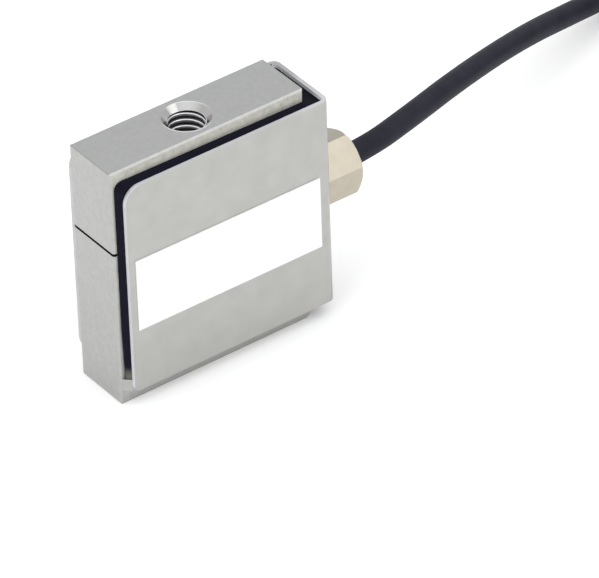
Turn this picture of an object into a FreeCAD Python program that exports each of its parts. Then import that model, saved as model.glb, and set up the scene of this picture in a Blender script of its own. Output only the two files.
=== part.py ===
import FreeCAD, Part
import math
import os
import Sketcher
from FreeCAD import Placement, Rotation, Vector

# Miniature S-beam tension load cell with a folded cover, a cable gland and its cable.
# Frame: origin where the load axis meets the foot, +X to the gland, +Y to the back, +Z up. Millimetres.

doc = FreeCAD.newDocument("tension_load_cell")
sheet = doc.addObject("Spreadsheet::Sheet", "sizes")

# Driving dimensions: alias and value in millimetres (degrees where the name says turn or angle)
DIMENSIONS = (
    # S-beam block
    ("body_length", 15.64),
    ("body_thick", 4.55),
    ("body_height", 18.65),
    ("edge_break", 0.12),
    ("light_break", 0.04),
    ("foot_chamfer", 0.40),
    ("slit_width", 0.21),
    ("slit_offset", 2.85),
    ("slit_column", 2.80),
    ("pocket_radius", 2.00),
    ("web_thick", 1.00),
    ("land_bottom", 1.10),
    ("land_top", 2.02),
    ("notch_depth", 1.49),
    ("notch_height", 2.20),
    # Tapped holes on the load axis, M3 x 0.5, walls at the thread's major radius
    ("thread_radius", 1.50),
    ("thread_depth", 4.60),
    ("sink_radius", 1.72),
    ("drill_point", 0.75),
    # Folded cover
    ("cover_gap", 0.46),
    ("sheet_thick", 0.30),
    ("cover_inset", 1.16),
    ("cover_left", 0.63),
    ("rear_left", 0.38),
    ("end_room", 1.30),
    ("bend_radius", 0.58),
    ("corner_radius", 1.25),
    ("lower_corner_radius", 0.40),
    # Label on the front wall
    ("label_length", 15.00),
    ("label_height", 5.60),
    ("label_left", 1.17),
    ("label_bottom", 6.05),
    ("label_thick", 0.08),
    # Sealant
    ("seal_reach", 0.34),
    ("seal_thin", 0.13),
    ("seal_taper", 4.00),
    ("seal_fall", 0.20),
    ("seal_corner", 0.60),
    ("seal_slope", 0.35),
    ("seal_width", 1.60),
    ("seal_fillet", 0.80),
    ("plug_drop", 0.30),
    ("plug_height", 1.40),
    # Cable gland
    ("gland_height", 9.63),
    ("hex_flats", 4.20),
    ("hex_length", 3.32),
    ("hex_turn", 43.9),
    ("hex_end_radius", 1.96),
    ("hex_end_slope", 1.25),
    ("stem_radius", 1.50),
    ("stem_gap", 0.05),
    ("stem_clear", 0.55),
    ("chamber_radius", 1.15),
    ("lip_length", 0.90),
    ("grip_length", 1.44),
    ("nut_flats", 4.00),
    ("nut_thick", 0.70),
    # Inside the cell
    ("lead_radius", 0.14),
    ("lead_spread", 0.30),
    ("lead_straight", 1.50),
    ("board_left", 3.20),
    ("board_length", 2.65),
    ("board_drop", 1.90),
    ("board_rise", 0.80),
    ("board_thick", 0.10),
    ("bump_left", 4.50),
    ("bump_length", 0.50),
    ("bump_thick", 0.30),
    ("bump_height", 0.40),
    ("chip_length", 1.60),
    ("chip_height", 0.80),
    ("gauge_side", 2.40),
    ("gauge_thick", 0.06),
    ("grid_length", 1.00),
    ("grid_width", 0.60),
    ("grid_thick", 0.02),
    ("grid_shift", 0.20),
    ("grid_apart", 0.60),
    ("tab_length", 0.25),
    ("tab_right", 0.95),
    ("tab_thick", 0.20),
    ("ribbon_width", 0.20),
    ("ribbon_thick", 0.06),
    ("ribbon_lane", 1.45),
    # Cable, its coil and its stripped end
    ("cable_radius", 0.84),
    ("coil_x", 64.7),
    ("coil_y", 5.2),
    ("coil_radius", 9.00),
    ("bundle_width", 8.40),
    ("bundle_height", 8.40),
    ("bundle_corner", 0.49),
    ("tail_sink", 0.15),
    ("tail_turn", 170.0),
    ("tail_angle", 40.0),
    ("tail_lead_radius", 0.22),
    ("tail_lead_spread", 0.30),
    ("tail_lead_apart", 0.90),
    ("tail_lead_exit", 3.20),
    ("tail_lead_turn", 39.0),
    ("tail_lead_drift", 0.45),
    ("tail_lead_rise", 0.02),
    ("tie_turn", -20.0),
    ("tie_width", 2.20),
    ("tie_thick", 0.35),
    ("tie_proud", 0.20),
    ("head_width", 2.60),
    ("head_height", 1.80),
    ("head_depth", 1.30),
)

# The cable's route from the gland's grip to the coil, chosen by hand; the last point lies inside the coil
CABLE_ROUTE = (
    (10.4, 0.0, 9.63),
    (15.1, 0.0, 9.63),
    (19.7, 1.8, 9.1),
    (24.7, 4.1, 8.1),
    (30.4, 6.9, 6.5),
    (36.1, 9.7, 4.6),
    (41.3, 11.9, 2.8),
    (46.0, 13.4, 1.6),
    (51.4, 14.9, 1.05),
    (57.0, 16.2, 0.88),
    (62.6, 17.2, 0.9),
)

# Each lead: colour, side of the beam (-1 front, +1 back), level (+1 upper, -1 lower)
LEADS = (("red", -1, 1), ("black", -1, -1), ("green", 1, 1), ("white", 1, -1))

# The leads are eight-sided, which lets them lie flat
LEAD_SIDES = 8

FULL_TURN = 360.0
HEX_CORNER = math.cos(math.radians(30))
HALF_RIGHT_ANGLE = math.sin(math.radians(45))
SMALL = 1e-4

# An arc takes this share of the shorter run beside it; a tube may differ this much from section times length
BEND_SHARE = 0.45
VOLUME_SHARE = 0.01


class Size:
    """A length kept in the sheet: its number and the expression that gives it."""

    def __init__(self, value, text):
        self.value = value
        self.text = text

    def __add__(self, other):
        return Size(self.value + number(other), f"({self.text} + {text(other)})")

    def __radd__(self, other):
        return Size(number(other) + self.value, f"({text(other)} + {self.text})")

    def __sub__(self, other):
        return Size(self.value - number(other), f"({self.text} - {text(other)})")

    def __rsub__(self, other):
        return Size(number(other) - self.value, f"({text(other)} - {self.text})")

    def __mul__(self, other):
        return Size(self.value * number(other), f"({self.text} * {text(other)})")

    def __rmul__(self, other):
        return self * other

    def __truediv__(self, other):
        return Size(self.value / number(other), f"({self.text} / {text(other)})")

    def __neg__(self):
        return Size(-self.value, f"(0 - {self.text})")


def number(item):
    return item.value if isinstance(item, Size) else item


def text(item):
    return item.text if isinstance(item, Size) else str(item)


def fill_sheet():
    """Write every driving dimension to the sheet and hand back the sizes read from it."""
    for row, (alias, value) in enumerate(DIMENSIONS, start=1):
        sheet.set(f"A{row}", alias)
        sheet.set(f"B{row}", str(value))
        sheet.setAlias(f"B{row}", alias)
    doc.recompute()
    return {alias: Size(float(sheet.get(alias)), f"sizes.{alias}") for alias, value in DIMENSIONS}


S = fill_sheet()

# Places that several sub-parts share
BODY_RIGHT = S["body_length"] / 2
BODY_LEFT = -BODY_RIGHT
BODY_FACE = S["body_thick"] / 2
COVER_INNER = BODY_FACE + S["cover_gap"]
COVER_OUTER = COVER_INNER + S["sheet_thick"]
COVER_LEFT = BODY_LEFT + S["cover_left"]
REAR_LEFT = BODY_LEFT + S["rear_left"]
WALL_INNER = BODY_RIGHT + S["end_room"]
WALL_OUTER = WALL_INNER + S["sheet_thick"]
COVER_TOP = S["body_height"] - S["cover_inset"]
HEX_END = WALL_OUTER + S["hex_length"]
STEM_END = BODY_RIGHT + S["stem_clear"]
CHAMBER_END = HEX_END - S["lip_length"]
JACKET_END = CHAMBER_END - S["grip_length"]
BOARD_FACE = BODY_FACE + S["board_thick"]
WEB_FACE = S["web_thick"] / 2


def bind(item, **properties):
    """Bind properties to sizes; two underscores in a name stand for a dot."""
    for name, size in properties.items():
        item.setExpression(name.replace("__", "."), text(size))


def new_body(label):
    body = doc.addObject("PartDesign::Body", label)
    body.Label = label
    return body


def origin_plane(body, role):
    return next(plane for plane in body.Origin.OriginFeatures if plane.Role == role)


def new_sketch(body, name, role, lift=0):
    """A sketch on one of the body's own planes, lifted along that plane's normal."""
    sketch = body.newObject("Sketcher::SketchObject", name)
    sketch.AttachmentSupport = (origin_plane(body, role), [""])
    sketch.MapMode = "FlatFace"
    bind(sketch, AttachmentOffset__Base__z=lift)
    return sketch


def pin_point(sketch, geometry, position, place):
    """Hold a sketch point by dimensions from the origin, bound to the sheet."""
    for kind, axis, size in (("DistanceX", -2, place[0]), ("DistanceY", -1, place[1])):
        if number(size) == 0:
            sketch.addConstraint(Sketcher.Constraint("PointOnObject", geometry, position, axis))
        else:
            rule = Sketcher.Constraint(kind, -1, 1, geometry, position, number(size))
            index = sketch.addConstraint(rule)
            sketch.setExpression(f"Constraints[{index}]", text(size))


def draw_polygon(sketch, places):
    """A closed outline of straight lines through places given as sizes."""
    first = sketch.GeometryCount
    corners = [Vector(number(x), number(y), 0) for x, y in places]
    count = len(corners)
    for i in range(count):
        sketch.addGeometry(Part.LineSegment(corners[i], corners[(i + 1) % count]), False)
    for i in range(count):
        follower = first + (i + 1) % count
        sketch.addConstraint(Sketcher.Constraint("Coincident", first + i, 2, follower, 1))
    for i in range(count):
        pin_point(sketch, first + i, 1, places[i])


def draw_rectangle(sketch, low, high):
    draw_polygon(sketch, (low, (high[0], low[1]), high, (low[0], high[1])))


def draw_octagon(sketch, low, high, corner):
    """A rectangle with its four corners cut off."""
    (left, bottom), (right, top) = low, high
    draw_polygon(sketch, (
        (left + corner, bottom), (right - corner, bottom), (right, bottom + corner), (right, top - corner),
        (right - corner, top), (left + corner, top), (left, top - corner), (left, bottom + corner),
    ))


def draw_circle(sketch, centre, radius):
    middle = Vector(number(centre[0]), number(centre[1]), 0)
    index = sketch.addGeometry(Part.Circle(middle, Vector(0, 0, 1), number(radius)), False)
    pin_point(sketch, index, 3, centre)
    rule = sketch.addConstraint(Sketcher.Constraint("Radius", index, number(radius)))
    sketch.setExpression(f"Constraints[{rule}]", text(radius))


def pad(body, name, sketch, length, symmetric=False):
    feature = body.newObject("PartDesign::Pad", name)
    feature.Profile = sketch
    feature.SideType = "Symmetric" if symmetric else "One side"
    bind(feature, Length=length)
    doc.recompute()
    return feature


def pocket(body, name, sketch, symmetric=False, reverse=False):
    """A cut through everything on one side of the sketch, or on both."""
    before = body.Shape.Volume
    feature = body.newObject("PartDesign::Pocket", name)
    feature.Profile = sketch
    feature.Type = "ThroughAll"
    feature.SideType = "Symmetric" if symmetric else "One side"
    feature.Reversed = reverse
    doc.recompute()
    if body.Shape.Volume > before - SMALL:
        raise RuntimeError(f"{name} cuts nothing")
    return feature


def edges_of(feature, test):
    return [f"Edge{i}" for i, edge in enumerate(feature.Shape.Edges, start=1) if test(edge.BoundBox)]


def dress(body, kind, name, base, edges, **sizes):
    """A fillet or chamfer on named edges of the feature before it."""
    feature = body.newObject(f"PartDesign::{kind}", name)
    feature.Base = (base, edges)
    bind(feature, **sizes)
    doc.recompute()
    return feature


def near(value, size):
    return abs(value - number(size)) < SMALL


def along_z(box):
    return box.XLength < SMALL and box.YLength < SMALL


def along_y(box):
    return box.XLength < SMALL and box.ZLength < SMALL


def place_at(item, x, y, z):
    bind(item, Placement__Base__x=x, Placement__Base__y=y, Placement__Base__z=z)


def make_box(name, low, high):
    """A block between two corners given as sizes."""
    block = doc.addObject("Part::Box", name)
    bind(block, Length=high[0] - low[0], Width=high[1] - low[1], Height=high[2] - low[2])
    place_at(block, *low)
    return block


def make_disc(name, radius, left, right):
    """A cylinder on the gland's axis, from one X to another."""
    disc = doc.addObject("Part::Cylinder", name)
    disc.Placement = Placement(Vector(), Rotation(Vector(0, 1, 0), 90))
    bind(disc, Radius=radius, Height=right - left)
    place_at(disc, left, 0, S["gland_height"])
    return disc


def make_hex(name, flats, left, right):
    """A hexagonal bar on the gland's axis, turned as the gland is."""
    bar = doc.addObject("Part::Prism", name)
    spin = Rotation(Vector(0, 0, 1), number(S["hex_turn"]) + 90)
    bar.Placement = Placement(Vector(), Rotation(Vector(0, 1, 0), 90) * spin)
    bar.Polygon = 6
    bind(bar, Circumradius=flats / 2 / HEX_CORNER, Height=right - left)
    place_at(bar, left, 0, S["gland_height"])
    return bar


def join(name, pieces):
    union = doc.addObject("Part::MultiFuse", name)
    union.Shapes = pieces
    return union


def pair(kind, name, base, tool):
    result = doc.addObject(f"Part::{kind}", name)
    result.Base = base
    result.Tool = tool
    return result


def rounded_path(points):
    """Straight runs joined by tangent arcs, as large as the runs allow."""
    points = [Vector(*point) for point in points]
    edges = []
    radii = []
    start = points[0]
    for before, corner, after in zip(points, points[1:], points[2:]):
        back = before - corner
        ahead = after - corner
        half_turn = (math.pi - back.getAngle(ahead)) / 2
        reach = BEND_SHARE * min(back.Length, ahead.Length)
        radius = reach / math.tan(half_turn)
        back.normalize()
        ahead.normalize()
        middle = back + ahead
        middle.normalize()
        top = corner + middle * (radius / math.cos(half_turn) - radius)
        first = corner + back * reach
        last = corner + ahead * reach
        edges.append(Part.LineSegment(start, first).toShape())
        edges.append(Part.Arc(first, top, last).toShape())
        radii.append(round(radius, 2))
        start = last
    edges.append(Part.LineSegment(start, points[-1]).toShape())
    return Part.Wire(edges), radii


def sweep(path, section):
    """A solid of one section along a path, its volume compared with section times length."""
    solid = path.makePipeShell([section], True, False)
    expected = Part.Face(section).Area * path.Length
    if abs(solid.Volume / expected - 1) > VOLUME_SHARE:
        raise RuntimeError(f"swept volume {solid.Volume} is not {expected}")
    return solid


def tube_along(points, radius):
    """A round tube along a rounded path, with the path's length and bend radii."""
    path, radii = rounded_path(points)
    direction = Vector(*points[1]) - Vector(*points[0])
    ring = Part.Wire(Part.Circle(Vector(*points[0]), direction, radius).toShape())
    return sweep(path, ring), path.Length, radii


def bar_along(points, outline):
    """A flat-sided bar along a rounded path that starts level; outline has its corners across and up."""
    path, radii = rounded_path(points)
    start = Vector(*points[0])
    across = Vector(0, 0, 1).cross(Vector(*points[1]) - start)
    across.normalize()
    corners = [start + across * side + Vector(0, 0, up) for side, up in outline]
    return sweep(path, Part.makePolygon(corners + corners[:1])), path.Length, radii


def lead_outline(radius):
    """Corners of a lead's section, with flats at this radius below, above and on both sides."""
    corner = radius / math.cos(math.pi / LEAD_SIDES)
    angles = [math.pi * (2 * side + 1) / LEAD_SIDES for side in range(LEAD_SIDES)]
    return [(corner * math.cos(angle), corner * math.sin(angle)) for angle in angles]


def add_shape(label, shape):
    feature = doc.addObject("Part::Feature", label)
    feature.Shape = shape
    feature.Placement = Placement()
    return feature


def s_beam_body():
    """The spring element: a block with two slits, a thin gauge web and tapped ends."""
    body = new_body("s_beam_body")
    outline = new_sketch(body, "block_outline", "XY_Plane")
    draw_rectangle(outline, (BODY_LEFT, -BODY_FACE), (BODY_RIGHT, BODY_FACE))
    block = pad(body, "block", outline, S["body_height"])

    def at_foot_corner(box):
        return along_y(box) and near(box.XMin, BODY_RIGHT) and near(box.ZMin, 0)

    foot_edge = edges_of(block, at_foot_corner)
    foot = dress(body, "Chamfer", "foot_corner", block, foot_edge, Size=S["foot_chamfer"])

    def flat_at(low, high, size):
        return near(low, size) and near(high, size)

    def on_end(box):
        return flat_at(box.XMin, box.XMax, BODY_LEFT) or flat_at(box.XMin, box.XMax, BODY_RIGHT)

    def on_face(box):
        return flat_at(box.YMin, box.YMax, BODY_FACE) or flat_at(box.YMin, box.YMax, -BODY_FACE)

    def at_top(box):
        return flat_at(box.ZMin, box.ZMax, S["body_height"])

    def on_broken_edge(box):
        return on_face(box) and (at_top(box) or along_z(box))

    def on_light_edge(box):
        at_foot = flat_at(box.ZMin, box.ZMax, 0)
        beside_foot = on_face(box) or flat_at(box.XMin, box.XMax, BODY_LEFT)
        return (at_top(box) and on_end(box)) or (at_foot and beside_foot)

    broken = dress(body, "Chamfer", "broken_edges", foot, edges_of(foot, on_broken_edge), Size=S["edge_break"])
    dress(body, "Chamfer", "light_edges", broken, edges_of(broken, on_light_edge), Size=S["light_break"])

    lands = new_sketch(body, "land_outline", "XY_Plane", S["land_bottom"])
    near_end = BODY_RIGHT - S["edge_break"]
    far_end = BODY_RIGHT - S["cover_left"]
    draw_polygon(lands, (
        (-near_end, -BODY_FACE), (-far_end, -COVER_INNER), (far_end, -COVER_INNER), (near_end, -BODY_FACE),
        (near_end, BODY_FACE), (far_end, COVER_INNER), (-far_end, COVER_INNER), (-near_end, BODY_FACE),
    ))
    pad(body, "cover_lands", lands, S["land_top"] - S["land_bottom"])

    slits = new_sketch(body, "slit_outline", "XZ_Plane")
    overrun = S["body_length"]
    for side in (-1, 1):
        level = S["body_height"] / 2 - S["slit_offset"] * side
        open_end = overrun * side
        closed_end = (BODY_LEFT + S["slit_column"]) * side
        low = min(open_end, closed_end, key=number)
        high = max(open_end, closed_end, key=number)
        draw_rectangle(slits, (low, level - S["slit_width"] / 2), (high, level + S["slit_width"] / 2))
    pocket(body, "wire_cut_slits", slits, symmetric=True)

    front = new_sketch(body, "gauge_pocket_outline", "XZ_Plane", WEB_FACE)
    draw_circle(front, (0, S["body_height"] / 2), S["pocket_radius"])
    front_pocket = pocket(body, "gauge_pocket", front, reverse=True)
    one_side = body.Shape.Volume
    mirror = body.newObject("PartDesign::Mirrored", "rear_gauge_pocket")
    mirror.Originals = [front_pocket]
    mirror.MirrorPlane = (origin_plane(body, "XZ_Plane"), [""])
    body.Tip = mirror
    doc.recompute()
    if body.Shape.Volume > one_side - SMALL:
        raise RuntimeError("the rear gauge pocket cuts nothing")

    notch = new_sketch(body, "lead_notch_outline", "XZ_Plane")
    notch_low = (BODY_RIGHT - S["notch_depth"], S["gland_height"] - S["notch_height"] / 2)
    notch_high = (BODY_RIGHT + S["notch_depth"], S["gland_height"] + S["notch_height"] / 2)
    draw_rectangle(notch, notch_low, notch_high)
    pocket(body, "lead_notch", notch, symmetric=True)

    holes = new_sketch(body, "tapped_hole_profiles", "XZ_Plane")
    sink_depth = S["sink_radius"] - S["thread_radius"]
    for face, way in ((S["body_height"], -1), (S["body_height"] * 0, 1)):
        draw_polygon(holes, (
            (0, face),
            (S["sink_radius"], face),
            (S["thread_radius"], face + sink_depth * way),
            (S["thread_radius"], face + S["thread_depth"] * way),
            (0, face + (S["thread_depth"] + S["drill_point"]) * way),
        ))
    solid_volume = body.Shape.Volume
    groove = body.newObject("PartDesign::Groove", "tapped_holes")
    groove.Profile = holes
    groove.ReferenceAxis = (holes, ["V_Axis"])
    groove.Angle = FULL_TURN
    doc.recompute()
    if body.Shape.Volume > solid_volume - SMALL:
        raise RuntimeError("the tapped holes cut nothing")
    return body


def wrap_cover():
    """One sheet folded twice round the block, standing off it on the foot's lands."""
    body = new_body("wrap_cover")
    outline = new_sketch(body, "fold_outline", "XY_Plane", S["cover_inset"])
    draw_polygon(outline, (
        (COVER_LEFT, -COVER_OUTER),
        (WALL_OUTER, -COVER_OUTER),
        (WALL_OUTER, COVER_OUTER),
        (REAR_LEFT, COVER_OUTER),
        (REAR_LEFT, COVER_INNER),
        (WALL_INNER, COVER_INNER),
        (WALL_INNER, -COVER_INNER),
        (COVER_LEFT, -COVER_INNER),
    ))
    sheet_metal = pad(body, "folded_sheet", outline, COVER_TOP - S["cover_inset"])

    def at_outer_bend(box):
        return along_z(box) and near(box.XMin, WALL_OUTER)

    def at_inner_bend(box):
        return along_z(box) and near(box.XMin, WALL_INNER)

    def at_front_foot(box):
        return along_y(box) and near(box.XMin, COVER_LEFT) and near(box.ZMin, S["cover_inset"])

    def at_other_corner(box):
        at_left = near(box.XMin, COVER_LEFT) or near(box.XMin, REAR_LEFT)
        return along_y(box) and at_left

    inner_radius = S["bend_radius"] - S["sheet_thick"]
    for name, test, radius in (
        ("outer_bends", at_outer_bend, S["bend_radius"]),
        ("inner_bends", at_inner_bend, inner_radius),
        ("front_foot_corner", at_front_foot, S["lower_corner_radius"]),
        ("other_corners", at_other_corner, S["corner_radius"]),
    ):
        sheet_metal = dress(body, "Fillet", name, sheet_metal, edges_of(sheet_metal, test), Radius=radius)

    hole = new_sketch(body, "gland_hole_outline", "YZ_Plane")
    draw_circle(hole, (0, S["gland_height"]), S["stem_radius"] + S["stem_gap"])
    pocket(body, "gland_hole", hole, reverse=True)
    return body


def cover_label():
    low = (BODY_LEFT + S["label_left"], -COVER_OUTER - S["label_thick"], S["label_bottom"])
    high = (low[0] + S["label_length"], -COVER_OUTER, S["label_bottom"] + S["label_height"])
    return make_box("cover_label", low, high)


def seal_bead():
    """Sealant along the left and top edges of both walls and across the room at the right end."""
    body = new_body("seal_bead")
    left = COVER_LEFT - S["seal_reach"]
    top = COVER_TOP + S["seal_reach"]
    inner_left = left + S["seal_width"]
    inner_top = top - S["seal_width"]
    outline = new_sketch(body, "bead_outline", "XZ_Plane")
    draw_polygon(outline, (
        (left + S["seal_thin"], S["land_top"]),
        (left, S["land_top"] + S["seal_taper"]),
        (left, top),
        (WALL_INNER, top - S["seal_fall"]),
        (WALL_INNER, inner_top),
        (inner_left, inner_top),
        (inner_left, S["land_top"]),
    ))
    bead = pad(body, "bead", outline, COVER_INNER * 2, symmetric=True)

    def at_outer_corner(box):
        return along_y(box) and near(box.XMin, left) and near(box.ZMin, top)

    def at_inner_corner(box):
        return along_y(box) and near(box.XMin, inner_left) and near(box.ZMin, inner_top)

    def at_wall_bend(box):
        return along_z(box) and near(box.XMin, WALL_INNER)

    for name, test, radius in (
        ("outer_corner", at_outer_corner, S["seal_corner"]),
        ("inner_corner", at_inner_corner, S["seal_fillet"]),
        ("wall_bends", at_wall_bend, S["bend_radius"] - S["sheet_thick"]),
    ):
        bead = dress(body, "Fillet", name, bead, edges_of(bead, test), Radius=radius)

    around = new_sketch(body, "block_clearance", "XY_Plane")
    draw_rectangle(around, (BODY_LEFT, -BODY_FACE), (BODY_RIGHT, BODY_FACE))
    pocket(body, "block_opening", around, reverse=True)

    dip = new_sketch(body, "plug_dip", "XZ_Plane")
    dip_high = (WALL_INNER + S["end_room"], top + S["plug_drop"])
    draw_rectangle(dip, (BODY_RIGHT, COVER_TOP - S["plug_drop"]), dip_high)
    dipped = pocket(body, "plug_surface", dip, symmetric=True)

    def at_exposed_edge(box):
        outside = near(box.YMin, box.YMax) and near(abs(box.YMin), COVER_INNER)
        reaches = near(box.XMin, left) or box.ZMin > number(COVER_TOP)
        return outside and reaches and box.XMax < number(BODY_RIGHT) + SMALL and box.XLength + box.ZLength > 1

    dress(body, "Chamfer", "sloped_face", dipped, edges_of(dipped, at_exposed_edge), Size=S["seal_slope"])
    return body


def lower_seal_plug():
    """Sealant that closes the lower end of the room between the block and the right wall."""
    body = new_body("lower_seal_plug")
    outline = new_sketch(body, "plug_outline", "XY_Plane", S["cover_inset"])
    draw_rectangle(outline, (BODY_RIGHT, -COVER_INNER), (WALL_INNER, COVER_INNER))
    plug = pad(body, "plug", outline, S["plug_height"])

    def at_wall_bend(box):
        return along_z(box) and near(box.XMin, WALL_INNER)

    bend = S["bend_radius"] - S["sheet_thick"]
    dress(body, "Fillet", "plug_bends", plug, edges_of(plug, at_wall_bend), Radius=bend)
    return body


def gland_body():
    """Hexagonal gland: coned outer end, threaded stem, stepped bore with a lip round the cable."""
    bar = make_hex("gland_hex", S["hex_flats"], WALL_OUTER, HEX_END)
    cone = doc.addObject("Part::Cone", "gland_end_cone")
    cone.Placement = Placement(Vector(), Rotation(Vector(0, 1, 0), 90))
    wide_end = S["hex_end_radius"] + S["hex_length"] * S["hex_end_slope"]
    bind(cone, Radius1=wide_end, Radius2=S["hex_end_radius"], Height=S["hex_length"])
    place_at(cone, WALL_OUTER, 0, S["gland_height"])
    head = pair("Common", "gland_head", bar, cone)
    stem = make_disc("gland_stem", S["stem_radius"], STEM_END, WALL_OUTER)
    blank = join("gland_blank", [head, stem])
    chamber = make_disc("gland_chamber", S["chamber_radius"], STEM_END, CHAMBER_END)
    lip = make_disc("gland_lip", S["cable_radius"], STEM_END, HEX_END)
    bore = join("gland_bore", [chamber, lip])
    return pair("Cut", "gland_body", blank, bore)


def gland_locknut():
    nut = make_hex("locknut_hex", S["nut_flats"], WALL_INNER - S["nut_thick"], WALL_INNER)
    hole = make_disc("locknut_hole", S["stem_radius"], WALL_INNER - S["nut_thick"], WALL_INNER)
    return pair("Cut", "gland_locknut", nut, hole)


def gland_seal():
    sleeve = make_disc("seal_sleeve", S["chamber_radius"], JACKET_END, CHAMBER_END)
    hole = make_disc("seal_sleeve_hole", S["cable_radius"], JACKET_END, CHAMBER_END)
    return pair("Cut", "gland_seal", sleeve, hole)


def shear_gauge():
    """Front foil gauge: backing, two grids crossed at 45 degrees and two solder tabs."""
    body = new_body("shear_gauge_front")
    middle = S["body_height"] / 2
    half = S["gauge_side"] / 2
    film = new_sketch(body, "gauge_film_outline", "XZ_Plane", WEB_FACE)
    draw_rectangle(film, (-half, middle - half), (half, middle + half))
    pad(body, "gauge_film", film, S["gauge_thick"])

    grids = new_sketch(body, "gauge_grid_outline", "XZ_Plane", WEB_FACE)
    tabs = new_sketch(body, "gauge_tab_outline", "XZ_Plane", WEB_FACE)
    across = (S["grid_length"] - S["grid_width"]) / 2 * HALF_RIGHT_ANGLE
    along = (S["grid_length"] + S["grid_width"]) / 2 * HALF_RIGHT_ANGLE
    for level in (-1, 1):
        x = -S["grid_shift"]
        z = middle + S["grid_apart"] * level
        draw_polygon(grids, (
            (x - along, z - across * level),
            (x - across, z - along * level),
            (x + along, z + across * level),
            (x + across, z + along * level),
        ))
        tab_low = S["gland_height"] + S["lead_spread"] * level - S["bump_height"] / 2
        tab_high = tab_low + S["bump_height"]
        draw_rectangle(tabs, (S["tab_right"] - S["tab_length"], tab_low), (S["tab_right"], tab_high))
    pad(body, "gauge_grids", grids, S["gauge_thick"] + S["grid_thick"])
    pad(body, "gauge_tabs", tabs, S["tab_thick"])
    return body


def mirrored(name, source):
    """The same piece on the back of the beam."""
    twin = doc.addObject("Part::Mirroring", name)
    twin.Source = source
    twin.Normal = Vector(0, 1, 0)
    return twin


def terminal_board():
    """Front solder board: a thin film with two bumps, bonded to the face of the middle beam."""
    body = new_body("terminal_board_front")
    film = new_sketch(body, "board_outline", "XZ_Plane", BODY_FACE)
    low = (S["board_left"], S["gland_height"] - S["board_drop"])
    high = (S["board_left"] + S["board_length"], S["gland_height"] + S["board_rise"])
    draw_rectangle(film, low, high)
    pad(body, "board_film", film, S["board_thick"])
    bumps = new_sketch(body, "bump_outline", "XZ_Plane", BODY_FACE)
    for level in (-1, 1):
        bump_low = S["gland_height"] + S["lead_spread"] * level - S["bump_height"] / 2
        draw_rectangle(bumps, (S["bump_left"], bump_low),
                       (S["bump_left"] + S["bump_length"], bump_low + S["bump_height"]))
    pad(body, "solder_bumps", bumps, S["board_thick"] + S["bump_thick"])
    return body


def chip_resistor():
    """Front chip resistor, on the lower half of the terminal board."""
    left = S["board_left"] + (S["board_length"] - S["chip_length"]) / 2
    bottom = S["gland_height"] - S["board_drop"] + S["edge_break"]
    low = (left, -BOARD_FACE - S["bump_thick"], bottom)
    high = (left + S["chip_length"], -BOARD_FACE, bottom + S["chip_height"])
    return make_box("span_resistor", low, high)


def inner_lead(colour, side, level):
    """One lead from the cable's end, through the notch and along the beam to its solder bump."""
    height = number(S["gland_height"] + S["lead_spread"] * level)
    near_axis = number(S["lead_spread"]) * side
    on_face = number(BOARD_FACE + S["lead_radius"]) * side
    fork = number(JACKET_END - S["lead_straight"])
    points = (
        (number(JACKET_END), near_axis, height),
        (fork, near_axis, height),
        (fork - abs(on_face - near_axis), on_face, height),
        (number(S["bump_left"] + S["bump_length"]), on_face, height),
    )
    lead, length, radii = bar_along(points, lead_outline(number(S["lead_radius"])))
    print("inner lead", colour, "length", round(length, 2), "bend radii", radii)
    return add_shape(f"inner_lead_{colour}", lead)


def gauge_jumpers():
    """Two front ribbons from the solder bumps down into the pocket to the gauge's tabs."""
    on_face = -number(BOARD_FACE + S["lead_radius"])
    on_web = -number(WEB_FACE + (S["gauge_thick"] + S["tab_thick"]) / 2)
    lane = number(S["ribbon_lane"])
    thick = number(S["ribbon_thick"]) / 2
    width = number(S["ribbon_width"]) / 2
    outline = ((-thick, -width), (thick, -width), (thick, width), (-thick, width))
    ribbons = []
    for level in (-1, 1):
        height = number(S["gland_height"] + S["lead_spread"] * level)
        points = (
            (number(S["bump_left"]), on_face, height),
            (lane, on_face, height),
            (lane, on_web, height),
            (number(S["tab_right"]), on_web, height),
        )
        ribbons.append(bar_along(points, outline)[0])
    return add_shape("gauge_jumpers_front", Part.makeCompound(ribbons))


def coil_ring():
    """The outer shape of the wound cable: a ring of eight-sided section standing on the floor."""
    body = new_body("coil_ring")
    section = new_sketch(body, "bundle_section", "XZ_Plane")
    inner = S["coil_radius"] - S["bundle_width"] / 2
    outer = S["coil_radius"] + S["bundle_width"] / 2
    draw_octagon(section, (inner, 0), (outer, S["bundle_height"]), S["bundle_corner"])
    ring = body.newObject("PartDesign::Revolution", "wound_bundle")
    ring.Profile = section
    ring.ReferenceAxis = (section, ["V_Axis"])
    ring.Angle = FULL_TURN
    place_at(body, S["coil_x"], S["coil_y"], 0)
    return body


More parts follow.
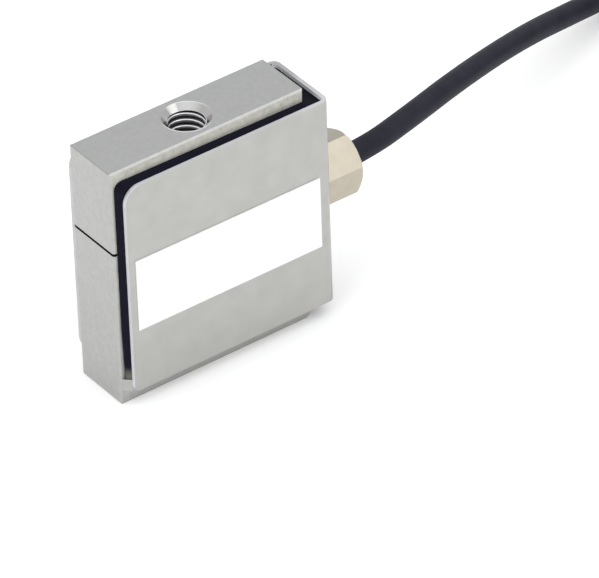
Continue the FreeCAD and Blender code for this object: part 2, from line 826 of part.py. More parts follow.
def coil_tie():
    """A strap drawn tight round the bundle, with its small locking head outside."""
    body = new_body("coil_tie")
    inner = S["coil_radius"] - S["bundle_width"] / 2 - S["tie_proud"]
    outer = S["coil_radius"] + S["bundle_width"] / 2
    hole_left = inner + S["tie_thick"]
    hole_right = outer - S["tie_thick"]
    frame = new_sketch(body, "strap_outline", "XZ_Plane")
    draw_octagon(frame, (inner, 0), (outer, S["bundle_height"]), S["bundle_corner"])
    hole_low = (hole_left, S["tie_thick"])
    draw_octagon(frame, hole_low, (hole_right, S["bundle_height"] - S["tie_thick"]), S["bundle_corner"] / 2)
    pad(body, "strap", frame, S["tie_width"], symmetric=True)
    head = new_sketch(body, "head_outline", "XZ_Plane")
    head_low = (hole_right, (S["bundle_height"] - S["head_height"]) / 2)
    draw_rectangle(head, head_low, (outer + S["head_depth"], (S["bundle_height"] + S["head_height"]) / 2))
    pad(body, "locking_head", head, S["head_width"], symmetric=True)
    body.Placement = Placement(Vector(), Rotation(Vector(0, 0, 1), number(S["tie_turn"])))
    place_at(body, S["coil_x"], S["coil_y"], 0)
    return body


def cable_coil(ring, tie):
    """The wound bundle, drawn in by the strap, with the cable's end lying on top of it."""
    tail = doc.addObject("Part::Torus", "tail_arc")
    bind(tail, Radius1=S["coil_radius"], Radius2=S["cable_radius"], Angle3=S["tail_angle"])
    tail.Placement = Placement(Vector(), Rotation(Vector(0, 0, 1), number(S["tail_turn"])))
    place_at(tail, S["coil_x"], S["coil_y"], S["bundle_height"] + S["cable_radius"] - S["tail_sink"])
    wound = join("wound_cable", [ring, tail])
    return pair("Cut", "cable_coil", wound, tie)


def cable_run(ring):
    """The cable from the gland's grip to the coil, its end fitted to the coil's outer wall."""
    tube, length, radii = tube_along(CABLE_ROUTE, number(S["cable_radius"]))
    print("cable run length", round(length, 2), "bend radii", radii)
    whole = add_shape("cable_tube", tube)
    return pair("Cut", "cable_run", whole, ring)


def tail_lead(colour, side, level):
    """One stripped lead: straight out of the jacket's end, then fanned out along the top of the coil."""
    rank = side + level / 2
    middle = number(S["coil_radius"])
    spread = number(S["tail_lead_spread"])
    rest = number(S["bundle_height"] + S["tail_lead_radius"] + S["tail_lead_rise"])
    fanned = middle + number(S["tail_lead_drift"] + S["tail_lead_apart"] * rank)
    exit_height = number(S["bundle_height"] + S["cable_radius"] - S["tail_sink"])
    start_turn = number(S["tail_turn"])

    def on_coil(turn, radius, height):
        angle = math.radians(start_turn - turn)
        x = number(S["coil_x"]) + radius * math.cos(angle)
        y = number(S["coil_y"]) + radius * math.sin(angle)
        return Vector(x, y, height)

    start = on_coil(0, middle + spread * side, exit_height + spread * level)
    ahead = Vector(math.sin(math.radians(start_turn)), -math.cos(math.radians(start_turn)), 0)
    fork = start + ahead * number(S["tail_lead_exit"])
    points = [start, fork, on_coil(number(S["tail_lead_turn"]), fanned, rest)]
    lead, length, radii = bar_along(points, lead_outline(number(S["tail_lead_radius"])))
    print("tail lead", colour, "length", round(length, 2), "bend radii", radii)
    return add_shape(f"tail_lead_{colour}", lead)


def build():
    """Make every sub-part and hand back the ones that become nodes."""
    nodes = [s_beam_body(), wrap_cover(), cover_label(), seal_bead(), lower_seal_plug()]
    nodes += [gland_body(), gland_locknut(), gland_seal()]
    front_pieces = [shear_gauge(), terminal_board(), chip_resistor(), gauge_jumpers()]
    rear_names = ["shear_gauge_rear", "terminal_board_rear", "zero_resistor", "gauge_jumpers_rear"]
    nodes += front_pieces
    nodes += [mirrored(name, piece) for name, piece in zip(rear_names, front_pieces)]
    nodes += [inner_lead(*lead) for lead in LEADS]
    ring = coil_ring()
    tie = coil_tie()
    nodes += [cable_run(ring), cable_coil(ring, tie), tie]
    nodes += [tail_lead(*lead) for lead in LEADS]
    doc.recompute()
    return nodes


def check(nodes):
    """Stop if any object failed or any node's shape is empty or not valid."""
    for item in doc.Objects:
        if "Invalid" in item.State or "Error" in item.State:
            raise RuntimeError(f"{item.Label} failed: {item.State}")
    for node in nodes:
        if node.Shape.isNull() or not node.Shape.isValid() or not node.Shape.Solids:
            raise RuntimeError(f"{node.Label} has no valid solid")


def write(nodes):
    os.makedirs("parts", exist_ok=True)
    for node in nodes:
        node.Shape.exportStep(f"parts/{node.Label}.step")
        print(f"{node.Label}: solids {len(node.Shape.Solids)}, volume {node.Shape.Volume:.3f}")


sub_parts = build()
check(sub_parts)
write(sub_parts)
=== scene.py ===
"""Looks of the tension load cell: materials, thread turns, cable, floor, light and camera."""
import math

import bpy
from mathutils import Matrix, Vector


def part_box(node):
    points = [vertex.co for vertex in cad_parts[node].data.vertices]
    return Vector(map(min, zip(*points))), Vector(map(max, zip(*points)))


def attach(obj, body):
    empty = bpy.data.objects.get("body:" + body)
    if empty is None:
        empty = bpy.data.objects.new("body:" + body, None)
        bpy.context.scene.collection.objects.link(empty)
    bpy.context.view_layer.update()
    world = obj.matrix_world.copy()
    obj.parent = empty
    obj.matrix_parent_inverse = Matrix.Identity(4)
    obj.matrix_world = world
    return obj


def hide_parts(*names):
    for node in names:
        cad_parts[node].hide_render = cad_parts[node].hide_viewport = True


MM = 0.001

# Directions in the part's frame: X to the right, Y to the back, Z up
UP = (0.0, 0.0, 1.0)
RIGHT = (1.0, 0.0, 0.0)
LEFT = (-1.0, 0.0, 0.0)
BACK = (0.0, 1.0, 0.0)
FRONT = (0.0, -1.0, 0.0)
LEFT_AND_UP = (-1.0, 0.0, 1.0)

# Camera, found from the block's corners in the photograph
CAMERA_AZIMUTH = math.radians(35.368)
CAMERA_ELEVATION = math.radians(36.432)
CAMERA_ROLL = math.radians(-2.081)
CAMERA_TARGET = Vector((5.126, -4.844, 5.0)) * MM
CAMERA_DISTANCE = 454.72 * MM
CAMERA_LENS = 410.8

# Tapped holes: a metric thread of half a millimetre pitch in each end of the block; angle where it starts
THREAD_ROOT = 1.52 * MM
THREAD_CREST = 1.28 * MM
THREAD_PITCH = 0.50 * MM
THREAD_TURNS = 8
THREAD_START = math.radians(109)
TURN_STEPS = 64

# Half the ridge's width at its root and at its crest
HALF_ROOT = 0.46 * THREAD_PITCH
HALF_CREST = 0.12 * THREAD_PITCH

# Distances from the load axis between which the painted highlight on the crests passes into the painted
# shade of the grooves
CREST_EDGE = 1.30 * MM
GROOVE_EDGE = 1.36 * MM

# Lead-in cone of each hole, and the slightly raised lip round the top one
CONE_WIDE = 1.70 * MM
CONE_NARROW = 1.31 * MM
CONE_DEPTH = 0.41 * MM
LIP_WIDE = 1.80 * MM
LIP_CREST = 1.745 * MM
LIP_RISE = 0.020 * MM

# Cable: its size, and the route's control points in millimetres, from the gland to the coil
CABLE_RADIUS = 0.84 * MM
CABLE_ROUTE = (
    (10.4, 0.0, 9.6),
    (14.3, 0.1, 9.5),
    (19.7, 1.8, 9.1),
    (24.7, 4.1, 8.1),
    (30.4, 6.9, 6.5),
    (36.1, 9.7, 4.6),
    (41.3, 11.9, 2.8),
    (46.0, 13.4, 1.6),
    (51.4, 14.9, 1.05),
    (57.0, 16.2, 0.88),
    (62.6, 17.2, 0.9),
)
CABLE_SIDE_STEPS = 4
SPLINE_STEPS = 8

# Coil: turns side by side in lanes and layer on layer, each stepping to its next lane near its end
COIL_CENTRE = Vector((64.7, 5.2, 0.0)) * MM
COIL_RADIUS = 9.0 * MM
COIL_LANES = 5
COIL_LAYERS = 5
COIL_MIDDLE = COIL_LAYERS * CABLE_RADIUS
LAST_TURN = COIL_LANES * COIL_LAYERS - 1
POINTS_A_TURN = 16
STEP_SHARE = 0.25

# Tie: where it holds the coil and how far to each side it is felt, in degrees, and how much it draws in
TIE_AZIMUTH = -20.0
TIE_REACH = 60.0
TIE_SQUEEZE = 0.12

# Tail: it climbs onto the coil, rising first and then crossing the turns, and ends level; angles in degrees
TAIL_AZIMUTH = 170.0
TAIL_HEIGHT = 9.09 * MM
TAIL_LEVEL = 35.0
TAIL_CLIMB = 110.0
TAIL_RISE_END = 0.65
TAIL_CROSS_START = 0.30

# How far a face turns towards a direction before it takes that side's finish, and when it has it wholly
FACING = (0.8, 0.9)
TURNED = (0.3, 0.7)

# Heights between which the block's front passes from the foot's grey into the paler milled strip
MILLED = (3.0 * MM, 9.0 * MM)

# Distances right of the load axis between which the cover's raw faces take the painted light of the end
# wall's inside
INSIDE = (6.0 * MM, 7.0 * MM)

# Distances behind the load axis between which the cover's cut edges take painted shade, as the rear sheet's
# greyer copy of them
REAR = (0.0, 1.0 * MM)

# The bead thins out to a film at its lower left end: over this height, and this far left of the load axis
FILM_HEIGHT = 0.95 * MM
FILM_SIDE = (0.0, 1.0 * MM)

# How far handling has rounded the sheet's sharp edges, and the angle that counts as sharp
SHEET_ROUNDING = 0.10 * MM
ROUNDING_STEPS = 2
SHARP_ANGLE = math.radians(50)
SAME_POINT = 0.001 * MM

# Surroundings: their brightness at the sides and overhead, and how far up it starts to rise
WALL_LIGHT = 0.76
CEILING_LIGHT = 1.6
CEILING_START = 0.6
STUDIO_TINT = (0.99, 0.995, 1.0, 1.0)

# Floor: half its side in metres, and how much it shines by itself
FLOOR_HALF = 1.5
FLOOR_GLOW = 0.13

# Soft square lamps: direction from the object, distance and side in metres, and power
LAMPS = {
    "key": {"direction": (-0.95, -0.25, 0.35), "distance": 0.6, "size": 0.4, "power": 1.3},
    "fill": {"direction": (0.46, -0.48, 0.75), "distance": 0.7, "size": 0.4, "power": 0.45},
}

# Plain finishes: dark and light shade, range of roughness, and METAL for bare metal; grain in millimetres
METAL = 1.0
BLACK = ((0.03, 0.03, 0.03), (0.05, 0.05, 0.05))
INSULATION = (0.35, 0.45)
PLAIN_LOOKS = {
    "label_white": ((0.86, 0.86, 0.86), (0.90, 0.90, 0.90), (0.35, 0.45)),
    "grip_rubber": (*BLACK, (0.6, 0.8)),
    "gauge_film": ((0.55, 0.30, 0.08), (0.66, 0.40, 0.12), (0.3, 0.4)),
    "terminal_film": ((0.48, 0.38, 0.18), (0.58, 0.48, 0.25), (0.35, 0.5)),
    "chip_black": (*BLACK, (0.3, 0.45)),
    "jumper_copper": ((0.62, 0.32, 0.16), (0.76, 0.44, 0.24), (0.25, 0.4), METAL),
    "lead_red": ((0.50, 0.02, 0.02), (0.60, 0.03, 0.03), INSULATION),
    "lead_black": ((0.015, 0.015, 0.015), (0.025, 0.025, 0.025), INSULATION),
    "lead_green": ((0.015, 0.26, 0.07), (0.025, 0.32, 0.09), INSULATION),
    "lead_white": ((0.78, 0.78, 0.76), (0.86, 0.86, 0.84), INSULATION),
    "tie_nylon": (*BLACK, (0.4, 0.5)),
    "cone_steel": ((0.52, 0.52, 0.51), (0.58, 0.58, 0.57), (0.12, 0.18), METAL),
}
PLAIN_GRAIN = 0.08
PLAIN_GRAIN_HEIGHT = 0.004

# Each material's nodes
PAINTED = {
    "beam_steel": ("s_beam_body",),
    "cover_steel": ("wrap_cover",),
    "label_white": ("cover_label",),
    "sealant": ("seal_bead", "lower_seal_plug"),
    "gland_metal": ("gland_body", "gland_locknut"),
    "grip_rubber": ("gland_seal",),
    "gauge_film": ("shear_gauge_front", "shear_gauge_rear"),
    "terminal_film": ("terminal_board_front", "terminal_board_rear"),
    "chip_black": ("span_resistor", "zero_resistor"),
    "jumper_copper": ("gauge_jumpers_front", "gauge_jumpers_rear"),
    "lead_red": ("inner_lead_red", "tail_lead_red"),
    "lead_black": ("inner_lead_black", "tail_lead_black"),
    "lead_green": ("inner_lead_green", "tail_lead_green"),
    "lead_white": ("inner_lead_white", "tail_lead_white"),
    "cable_jacket": ("cable_run", "cable_coil"),
    "tie_nylon": ("coil_tie",),
}


def add_node(tree, kind, inputs):
    """A new shader node with some of its inputs set."""
    node = tree.nodes.new(kind)
    for name, value in inputs.items():
        node.inputs[name].default_value = value
    return node


def map_range(tree, value, start, end, low, high):
    """A value between start and end, spread out over the range from low to high."""
    ends = {"From Min": start, "From Max": end, "To Min": low, "To Max": high}
    levels = add_node(tree, "ShaderNodeMapRange", ends)
    tree.links.new(value, levels.inputs["Value"])
    return levels.outputs["Result"]


class Finish:
    """One procedural material; its textures are measured in millimetres on the object."""

    SHADE_ENDS = (0.3, 0.7)

    def __init__(self, name, metallic=0.0, specular=0.5):
        self.material = bpy.data.materials.new(name)
        self.material.use_nodes = True
        self.tree = self.material.node_tree
        self.shader = self.tree.nodes["Principled BSDF"]
        self.shader.inputs["Metallic"].default_value = metallic
        self.shader.inputs["Specular IOR Level"].default_value = specular
        coordinates = self.tree.nodes.new("ShaderNodeTexCoord")
        self.place = coordinates.outputs["Object"]
        self.facing = coordinates.outputs["Normal"]

    def link(self, source, target):
        self.tree.links.new(source, target)

    def noise(self, size, detail=3.0, stretch=(1.0, 1.0, 1.0)):
        """Noise whose patches are about this many millimetres across, longer along each stretched axis."""
        scale = [1 / (size * MM * longer) for longer in stretch]
        mapping = add_node(self.tree, "ShaderNodeMapping", {"Scale": scale})
        self.link(self.place, mapping.inputs["Vector"])
        texture = add_node(self.tree, "ShaderNodeTexNoise", {"Scale": 1.0, "Detail": detail})
        self.link(mapping.outputs["Vector"], texture.inputs["Vector"])
        return texture.outputs["Fac"]

    def vector_math(self, operation, vector, other=None):
        """The node that works on a vector, and on a second, constant one where the operation takes two."""
        node = self.tree.nodes.new("ShaderNodeVectorMath")
        node.operation = operation
        self.link(vector, node.inputs[0])
        if other is not None:
            node.inputs[1].default_value = other
        return node

    def towards(self, direction):
        """How far each face turns towards one direction."""
        return self.vector_math("DOT_PRODUCT", self.facing, direction).outputs["Value"]

    def along(self, direction):
        """How far each point lies along one direction."""
        return self.vector_math("DOT_PRODUCT", self.place, direction).outputs["Value"]

    def from_axis(self):
        """Distance from the load axis."""
        flat = self.vector_math("MULTIPLY", self.place, (1.0, 1.0, 0.0))
        return self.vector_math("LENGTH", flat.outputs["Vector"]).outputs["Value"]

    def spread(self, value, start, end, low=0.0, high=1.0):
        """A value between start and end, spread out over another range."""
        return map_range(self.tree, value, start, end, low, high)

    def both(self, first, second):
        """Where two masks meet."""
        product = self.tree.nodes.new("ShaderNodeMath")
        product.operation = "MULTIPLY"
        self.link(first, product.inputs[0])
        self.link(second, product.inputs[1])
        return product.outputs["Value"]

    def ramp(self, pattern, dark, light):
        """A pattern coloured from a dark shade to a light one."""
        shades = self.tree.nodes.new("ShaderNodeValToRGB")
        for element, position, shade in zip(shades.color_ramp.elements, self.SHADE_ENDS, (dark, light)):
            element.position = position
            element.color = (*shade, 1.0)
        self.link(pattern, shades.inputs["Fac"])
        return shades.outputs["Color"]

    def blend(self, first, second, share):
        """One colour pattern passing into another."""
        mixer = self.tree.nodes.new("ShaderNodeMix")
        mixer.data_type = "RGBA"
        sockets = {socket.identifier: socket for socket in mixer.inputs}
        self.link(share, sockets["Factor_Float"])
        self.link(first, sockets["A_Color"])
        self.link(second, sockets["B_Color"])
        return next(socket for socket in mixer.outputs if socket.identifier == "Result_Color")

    def colour(self, pattern):
        self.link(pattern, self.shader.inputs["Base Color"])

    def metal(self, pattern, low, high):
        self.link(self.spread(pattern, 0.0, 1.0, low, high), self.shader.inputs["Metallic"])

    def roughness(self, pattern, low, high):
        self.link(self.spread(pattern, 0.0, 1.0, low, high), self.shader.inputs["Roughness"])

    def relief(self, pattern, height, strength=0.4):
        """Fine bumps of this height in millimetres."""
        bump = add_node(self.tree, "ShaderNodeBump", {"Strength": strength, "Distance": height * MM})
        self.link(pattern, bump.inputs["Height"])
        self.link(bump.outputs["Normal"], self.shader.inputs["Normal"])


def plain_finish(name, dark, light, rough, metallic=0.0, patch=1.5):
    """A finish of slightly mottled colour and gloss over a fine grain."""
    finish = Finish(name, metallic)
    finish.colour(finish.ramp(finish.noise(patch), dark, light))
    finish.roughness(finish.noise(patch / 3), *rough)
    finish.relief(finish.noise(PLAIN_GRAIN), PLAIN_GRAIN_HEIGHT)
    return finish.material


def beam_steel():
    """Ground satin steel, painted lighter on top than on the sides as painted light, with faint lines along
    the block and a pitted front.
    """
    finish = Finish("beam_steel")
    mottle = finish.noise(0.35, detail=5.0)
    high = finish.spread(finish.along(UP), *MILLED)
    front = finish.both(finish.spread(finish.towards(FRONT), *FACING), high)
    side = finish.ramp(mottle, (0.395, 0.395, 0.382), (0.44, 0.44, 0.427))
    # Painted light: the top is a lighter copy of the sides' steel, to brighten the top face
    top = finish.ramp(mottle, (0.485, 0.485, 0.485), (0.525, 0.525, 0.525))
    clean = finish.ramp(mottle, (0.39, 0.386, 0.342), (0.50, 0.496, 0.445))
    pitted = finish.ramp(mottle, (0.20, 0.20, 0.18), (0.26, 0.26, 0.23))
    pits = finish.spread(finish.noise(0.14, detail=2.0, stretch=(2.0, 1.0, 1.0)), 0.62, 0.80)
    milled = finish.blend(clean, pitted, pits)
    ground_with_painted_top = finish.blend(side, top, finish.spread(finish.towards(UP), *FACING))
    finish.colour(finish.blend(ground_with_painted_top, milled, front))
    finish.metal(front, METAL, 0.3)
    finish.roughness(finish.noise(0.2, detail=4.0, stretch=(6.0, 1.0, 1.0)), 0.27, 0.32)
    finish.relief(finish.noise(0.06, stretch=(12.0, 1.0, 1.0)), 0.001)
    return finish.material


def thread_steel():
    """The thread's steel, with painted shade in the grooves and a painted highlight along the crests."""
    finish = Finish("thread_steel", metallic=METAL)
    mottle = finish.noise(0.2)
    # Painted highlight on the crests and painted shade in the grooves, chosen by distance from the load
    # axis
    painted_crest_highlight = finish.ramp(mottle, (0.90, 0.90, 0.91), (0.95, 0.95, 0.96))
    painted_groove_shade = finish.ramp(mottle, (0.04, 0.04, 0.05), (0.08, 0.08, 0.10))
    groove_shade_share = finish.spread(finish.from_axis(), CREST_EDGE, GROOVE_EDGE)
    finish.colour(finish.blend(painted_crest_highlight, painted_groove_shade, groove_shade_share))
    finish.roughness(finish.noise(0.1), 0.30, 0.45)
    return finish.material


def cover_steel():
    """Rolled sheet: half bright outside, raw and matte on its cut edges and on the end wall's inside;
    painted shade on the rear sheet's cut edges, painted light on the end wall's inside.
    """
    finish = Finish("cover_steel")
    inside = finish.spread(finish.along(RIGHT), *INSIDE)
    rear = finish.spread(finish.along(BACK), *REAR)
    edge = finish.spread(finish.towards(UP), *TURNED)
    raw = finish.spread(finish.towards(LEFT_AND_UP), *TURNED)
    mottle = finish.noise(1.2, detail=4.0)
    bright = finish.ramp(mottle, (0.41, 0.407, 0.39), (0.445, 0.442, 0.425))
    front_cut = finish.ramp(mottle, (0.52, 0.52, 0.54), (0.58, 0.58, 0.60))
    # Painted shade: the rear sheet's cut edges are a greyer copy of the front ones
    rear_cut_painted_shade = finish.ramp(mottle, (0.38, 0.38, 0.39), (0.43, 0.43, 0.44))
    # Painted light: the end wall's inside is near-white so it looks lit
    painted_light_inside = finish.ramp(mottle, (0.90, 0.90, 0.91), (0.94, 0.94, 0.95))
    cut = finish.blend(front_cut, rear_cut_painted_shade, rear)
    walls_with_painted_light = finish.blend(cut, painted_light_inside, inside)
    finish.colour(finish.blend(bright, finish.blend(walls_with_painted_light, cut, edge), raw))
    finish.metal(raw, METAL, 0.1)
    finish.roughness(finish.noise(0.15, detail=4.0, stretch=(1.0, 1.0, 8.0)), 0.17, 0.24)
    finish.relief(finish.noise(0.05, detail=2.0, stretch=(1.0, 1.0, 10.0)), 0.0006, strength=0.5)
    return finish.material


def gland_metal():
    """Pale plating over turned brass."""
    finish = Finish("gland_metal", metallic=METAL)
    mottle = finish.noise(0.8, detail=4.0)
    finish.colour(finish.ramp(mottle, (0.458, 0.415, 0.338), (0.495, 0.452, 0.375)))
    finish.roughness(finish.noise(0.3), 0.28, 0.37)
    finish.relief(finish.noise(0.07, stretch=(1.0, 4.0, 4.0)), 0.002)
    return finish.material


def sealant():
    """Dark filler, smoothed by hand and slightly wavy, with a thin end that the steel shows through."""
    finish = Finish("sealant", specular=0.07)
    lower_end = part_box("seal_bead")[0].z
    low = finish.spread(finish.along(UP), lower_end + FILM_HEIGHT, lower_end)
    left = finish.spread(finish.along(LEFT), *FILM_SIDE)
    mottle = finish.noise(0.8)
    thick = finish.ramp(mottle, (0.0025, 0.0025, 0.008), (0.005, 0.005, 0.015))
    film = finish.ramp(mottle, (0.13, 0.13, 0.105), (0.18, 0.18, 0.155))
    finish.colour(finish.blend(thick, film, finish.both(low, left)))
    finish.roughness(finish.noise(0.4), 0.35, 0.55)
    finish.relief(finish.noise(0.5, detail=4.0), 0.04, strength=0.5)
    return finish.material


def cable_jacket():
    """Soft dark jacket with a dull sheen."""
    finish = Finish("cable_jacket", specular=0.08)
    finish.colour(finish.ramp(finish.noise(1.5), (0.020, 0.021, 0.029), (0.026, 0.027, 0.038)))
    finish.roughness(finish.noise(0.5), 0.45, 0.60)
    finish.relief(finish.noise(0.12), 0.006)
    return finish.material


def make_materials():
    """Every slot's material, and those of the tapped holes, by name."""
    made = {name: plain_finish(name, *look) for name, look in PLAIN_LOOKS.items()}
    for make in (beam_steel, thread_steel, cover_steel, gland_metal, sealant, cable_jacket):
        made[make.__name__] = make()
    return made


def paint(item, material):
    """Give a piece one material all over."""
    item.data.materials.clear()
    item.data.materials.append(material)


def round_edges(item, width):
    """Round a node's sharp edges a little."""
    weld = item.modifiers.new("weld", "WELD")
    weld.merge_threshold = SAME_POINT
    rounding = item.modifiers.new("rounding", "BEVEL")
    rounding.width = width
    rounding.segments = ROUNDING_STEPS
    rounding.limit_method = "ANGLE"
    rounding.angle_limit = SHARP_ANGLE
    rounding.harden_normals = True


def show(item, look):
    """Put a new piece in the scene, on the part's one body, with a material."""
    bpy.context.scene.collection.objects.link(item)
    paint(item, materials[look])
    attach(item, "root")
    return item


def strip_mesh(name, rows):
    """A surface of rows of points, each row joined to the next."""
    width = len(rows[0])
    faces = []
    for row in range(len(rows) - 1):
        for column in range(width - 1):
            first = row * width + column
            faces.append((first, first + 1, first + width + 1, first + width))
    mesh = bpy.data.meshes.new(name)
    mesh.from_pydata([point for row in rows for point in row], [], faces)
    mesh.update()
    return bpy.data.objects.new(name, mesh)


def around_axis(radius, angle, height):
    """A point at one angle round the load axis."""
    return radius * math.cos(angle), radius * math.sin(angle), height


def thread_turns(name, mouth, inward):
    """The ridge of a right-hand thread, from the end of the lead-in cone."""
    profile = (
        (THREAD_ROOT, -HALF_ROOT),
        (THREAD_CREST, -HALF_CREST),
        (THREAD_CREST, HALF_CREST),
        (THREAD_ROOT, HALF_ROOT),
    )
    rows = []
    for step in range(THREAD_TURNS * TURN_STEPS + 1):
        turn = step / TURN_STEPS
        angle = THREAD_START + 2 * math.pi * turn * inward
        middle = CONE_DEPTH + THREAD_PITCH * (turn - 0.5)
        row = []
        for radius, shift in profile:
            depth = max(middle + shift, CONE_DEPTH)
            row.append(around_axis(radius, angle, mouth + inward * depth))
        rows.append(row)
    show(strip_mesh(name, rows), "thread_steel")


def lead_in_cone(name, mouth, inward):
    """The cone that leads a screw into the thread; at the top it has a slightly raised lip."""
    profile = [(CONE_WIDE, 0.0), (CONE_NARROW, CONE_DEPTH), (THREAD_ROOT, CONE_DEPTH)]
    if inward < 0:
        profile = [(LIP_WIDE, 0.0), (LIP_CREST, -LIP_RISE), *profile]
    rows = []
    for step in range(TURN_STEPS + 1):
        angle = 2 * math.pi * step / TURN_STEPS
        rows.append([around_axis(radius, angle, mouth + inward * depth) for radius, depth in profile])
    show(strip_mesh(name, rows), "cone_steel")


def smooth(share):
    """A share from 0 to 1 that starts and ends gently."""
    share = min(max(share, 0.0), 1.0)
    return share * share * (3 - 2 * share)


def mix(start, end, share):
    return start + (end - start) * share


def lane_of(turn):
    """Radius and height of one whole turn: the lanes run inwards on one layer and outwards on the next."""
    layer, lane = divmod(turn, COIL_LANES)
    if layer % 2:
        lane = COIL_LANES - 1 - lane
    middle = (COIL_LANES - 1) / 2
    radius = COIL_RADIUS + 2 * CABLE_RADIUS * (middle - lane)
    return radius, CABLE_RADIUS * (2 * layer + 1)


def wound(angle):
    """Radius and height of the winding at an angle from its start."""
    turn = int(angle // 360)
    radius, height = lane_of(turn)
    next_radius, next_height = lane_of(min(turn + 1, LAST_TURN))
    stepped = smooth((angle / 360 - turn - 1 + STEP_SHARE) / STEP_SHARE)
    return mix(radius, next_radius, stepped), mix(height, next_height, stepped)


def tied(radius, height, azimuth):
    """The same place drawn towards the bundle's middle by the tie."""
    off_tie = abs((azimuth - TIE_AZIMUTH + 180) % 360 - 180)
    kept = 1 - TIE_SQUEEZE * smooth(1 - off_tie / TIE_REACH)
    return mix(COIL_RADIUS, radius, kept), mix(COIL_MIDDLE, height, kept)


def ended(radius, height, angle_left):
    """The same place raised onto the coil where little of the winding's angle is left."""
    climb = (TAIL_LEVEL + TAIL_CLIMB - angle_left) / TAIL_CLIMB
    crossed = smooth((climb - TAIL_CROSS_START) / (1 - TAIL_CROSS_START))
    risen = smooth(climb / TAIL_RISE_END)
    return mix(radius, COIL_RADIUS, crossed), mix(height, TAIL_HEIGHT, risen)


def coil_points(start):
    """Control points of the coil, wound clockwise from the route's last point to the end on top of it."""
    from_centre = start - COIL_CENTRE
    first_azimuth = math.degrees(math.atan2(from_centre.y, from_centre.x))
    whole = 360 * LAST_TURN + (first_azimuth - TAIL_AZIMUTH) % 360
    count = math.ceil(whole / 360 * POINTS_A_TURN)
    # The line passes inside its control points, so they stand this much further out
    outward = 4 / (3 + math.cos(math.radians(whole / count)))
    points = []
    for index in range(1, count + 1):
        angle = whole * index / count
        azimuth = first_azimuth - angle
        radius, height = wound(angle)
        radius, height = tied(radius, height, azimuth)
        radius, height = ended(radius, height, whole - angle)
        if index < count:
            radius *= outward
        points.append(COIL_CENTRE + Vector(around_axis(radius, math.radians(azimuth), height)))
    return points


def cable():
    """The whole cable as one smooth line, from the gland to its end on the coil."""
    points = [Vector(point) * MM for point in CABLE_ROUTE]
    points += coil_points(points[-1])
    curve = bpy.data.curves.new("cable", "CURVE")
    curve.dimensions = "3D"
    curve.bevel_depth = CABLE_RADIUS
    curve.bevel_resolution = CABLE_SIDE_STEPS
    curve.use_fill_caps = True
    spline = curve.splines.new("NURBS")
    spline.points.add(len(points) - 1)
    for control, point in zip(spline.points, points):
        control.co = (*point, 1.0)
    spline.order_u = 3
    spline.use_endpoint_u = True
    spline.resolution_u = SPLINE_STEPS
    item = show(bpy.data.objects.new("cable", curve), "cable_jacket")
    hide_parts("cable_run", "cable_coil")


def floor():
    """A wide plain pale floor under the foot."""
    corners = [(x * FLOOR_HALF, y * FLOOR_HALF, 0) for x, y in ((-1, -1), (1, -1), (1, 1), (-1, 1))]
    mesh = bpy.data.meshes.new("floor")
    mesh.from_pydata(corners, [], [(0, 1, 2, 3)])
    item = bpy.data.objects.new("floor", mesh)
    bpy.context.scene.collection.objects.link(item)
    white = plain_finish("floor_white", (0.94, 0.94, 0.94), (0.96, 0.96, 0.96), (0.8, 0.9), patch=60.0)
    shader = white.node_tree.nodes["Principled BSDF"]
    shader.inputs["Emission Color"].default_value = (1.0, 1.0, 1.0, 1.0)
    shader.inputs["Emission Strength"].default_value = FLOOR_GLOW
    paint(item, white)


def area_light(name, direction, distance, size, power):
    """A square soft light that faces the object from one direction."""
    lamp = bpy.data.lights.new(name, "AREA")
    lamp.size = size
    lamp.energy = power
    item = bpy.data.objects.new(name, lamp)
    bpy.context.scene.collection.objects.link(item)
    towards = Vector(direction).normalized()
    item.location = towards * distance
    item.rotation_mode = "QUATERNION"
    item.rotation_quaternion = towards.to_track_quat("Z", "Y")


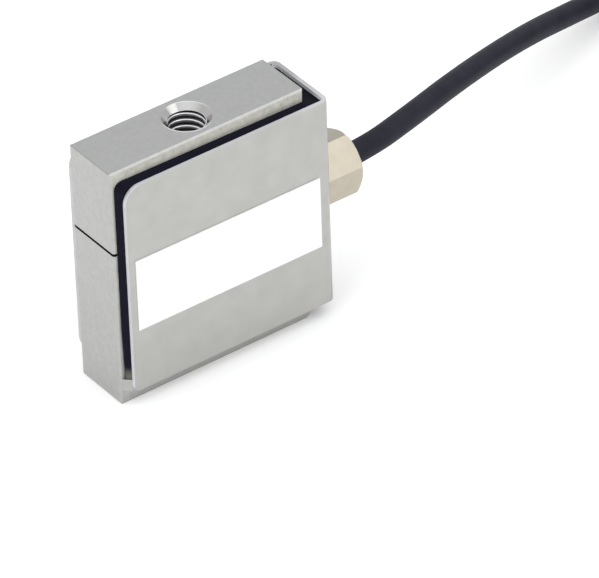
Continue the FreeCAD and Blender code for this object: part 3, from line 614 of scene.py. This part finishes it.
def studio():
    """Bright surroundings, brighter overhead, and two soft lights."""
    world = bpy.data.worlds.new("studio")
    world.use_nodes = True
    tree = world.node_tree
    background = tree.nodes["Background"]
    background.inputs["Color"].default_value = STUDIO_TINT
    direction = tree.nodes.new("ShaderNodeSeparateXYZ")
    tree.links.new(tree.nodes.new("ShaderNodeTexCoord").outputs["Generated"], direction.inputs["Vector"])
    strength = map_range(tree, direction.outputs["Z"], CEILING_START, 1.0, WALL_LIGHT, CEILING_LIGHT)
    tree.links.new(strength, background.inputs["Strength"])
    bpy.context.scene.world = world
    bpy.context.scene.view_settings.view_transform = "Standard"
    for name, lamp in LAMPS.items():
        area_light(name, **lamp)


def camera():
    """The photograph's view."""
    back = Vector((
        -math.sin(CAMERA_AZIMUTH) * math.cos(CAMERA_ELEVATION),
        -math.cos(CAMERA_AZIMUTH) * math.cos(CAMERA_ELEVATION),
        math.sin(CAMERA_ELEVATION),
    ))
    level = Vector((math.cos(CAMERA_AZIMUTH), -math.sin(CAMERA_AZIMUTH), 0))
    upright = back.cross(level)
    right = level * math.cos(CAMERA_ROLL) + upright * math.sin(CAMERA_ROLL)
    up = upright * math.cos(CAMERA_ROLL) - level * math.sin(CAMERA_ROLL)
    lens = bpy.data.cameras.new("camera")
    lens.lens = CAMERA_LENS
    item = bpy.data.objects.new("camera", lens)
    turned = Matrix((right, up, back)).transposed().to_4x4()
    item.matrix_world = Matrix.Translation(CAMERA_TARGET + back * CAMERA_DISTANCE) @ turned
    bpy.context.scene.collection.objects.link(item)
    bpy.context.scene.camera = item


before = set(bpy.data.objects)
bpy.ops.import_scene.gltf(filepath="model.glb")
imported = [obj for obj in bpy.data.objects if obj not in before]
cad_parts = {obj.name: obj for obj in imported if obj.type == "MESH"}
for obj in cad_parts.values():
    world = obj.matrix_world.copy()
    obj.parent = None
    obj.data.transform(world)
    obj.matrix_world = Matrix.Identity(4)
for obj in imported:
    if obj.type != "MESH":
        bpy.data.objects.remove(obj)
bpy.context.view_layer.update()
materials = make_materials()
for slot, names in PAINTED.items():
    for name in names:
        paint(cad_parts[name], materials[slot])
round_edges(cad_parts["wrap_cover"], SHEET_ROUNDING)
block_foot, block_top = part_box("s_beam_body")
for end, mouth, inward in (("top", block_top.z, -1), ("bottom", block_foot.z, 1)):
    thread_turns(f"{end}_thread_turns", mouth, inward)
    lead_in_cone(f"{end}_lead_in", mouth, inward)
cable()
floor()
studio()
camera()
bpy.context.view_layer.update()
